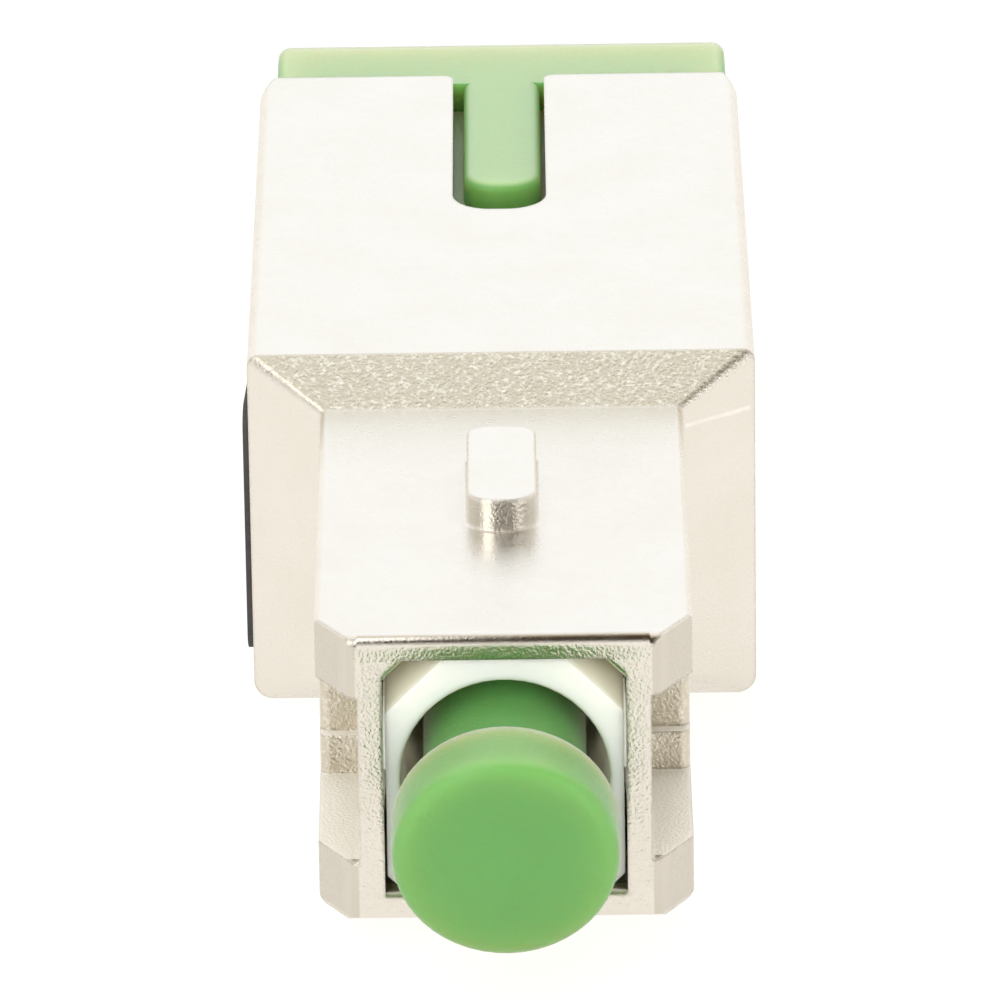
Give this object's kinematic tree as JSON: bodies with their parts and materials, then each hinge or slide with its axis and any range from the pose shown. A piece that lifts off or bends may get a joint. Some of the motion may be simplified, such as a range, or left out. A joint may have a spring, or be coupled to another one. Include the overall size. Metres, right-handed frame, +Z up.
{
  "type": "sc fibre attenuator",
  "caption": "Fibre-optic attenuator: metal block with a square push-pull plug at one end, a matching socket at the other, and green dust caps in both.",
  "frame": {"origin": "on the fibre's axis, where the straight plug meets the sloped shoulder", "axes": "+Y along the fibre from the plug to the socket, +Z up through the key, +X to the right seen from the plug"},
  "size_m": [0.0128, 0.0415, 0.0094],
  "materials": {
    "nickel_plate": "satin nickel plate with a fine grain, on a zinc casting",
    "black_label": "matte black label film",
    "ivory_plastic": "ivory moulded plastic",
    "zirconia": "polished white zirconia",
    "collar_metal": "nickel-plated brass",
    "fibre_glass": "clear drawn glass",
    "spring_steel": "bright spring steel",
    "green_plastic": "green moulded soft plastic"
  },
  "bodies": {
    "shell": {"housing_shell": "nickel_plate", "side_label": "black_label"},
    "inner": {"plug_frame": "ivory_plastic", "stop_ring": "collar_metal", "split_sleeve": "zirconia", "sleeve_holder": "ivory_plastic", "ferrule_spring": "spring_steel"},
    "ferrule_set": {"ferrule": "zirconia", "ferrule_collar": "collar_metal", "attenuating_fibre": "fibre_glass"},
    "front_cap": {"front_dust_cap": "green_plastic"},
    "rear_plug": {"rear_dust_plug": "green_plastic"}
  },
  "joints": [
    {"name": "push_pull", "type": "slide", "parent": "shell", "child": "inner", "axis": [0, -1, 0], "range_m": [0, 0.0016]},
    {"name": "ferrule_float", "type": "slide", "parent": "inner", "child": "ferrule_set", "axis": [0, 1, 0], "range_m": [0, 0.0008], "stiffness_N_per_m": 3000, "deforming": ["ferrule_spring"]},
    {"name": "front_cap_pull", "type": "slide", "parent": "ferrule_set", "child": "front_cap", "axis": [0, -1, 0], "range_m": [0, 0.012]},
    {"name": "rear_plug_pull", "type": "slide", "parent": "shell", "child": "rear_plug", "axis": [0, 1, 0], "range_m": [0, 0.012]}
  ]
}
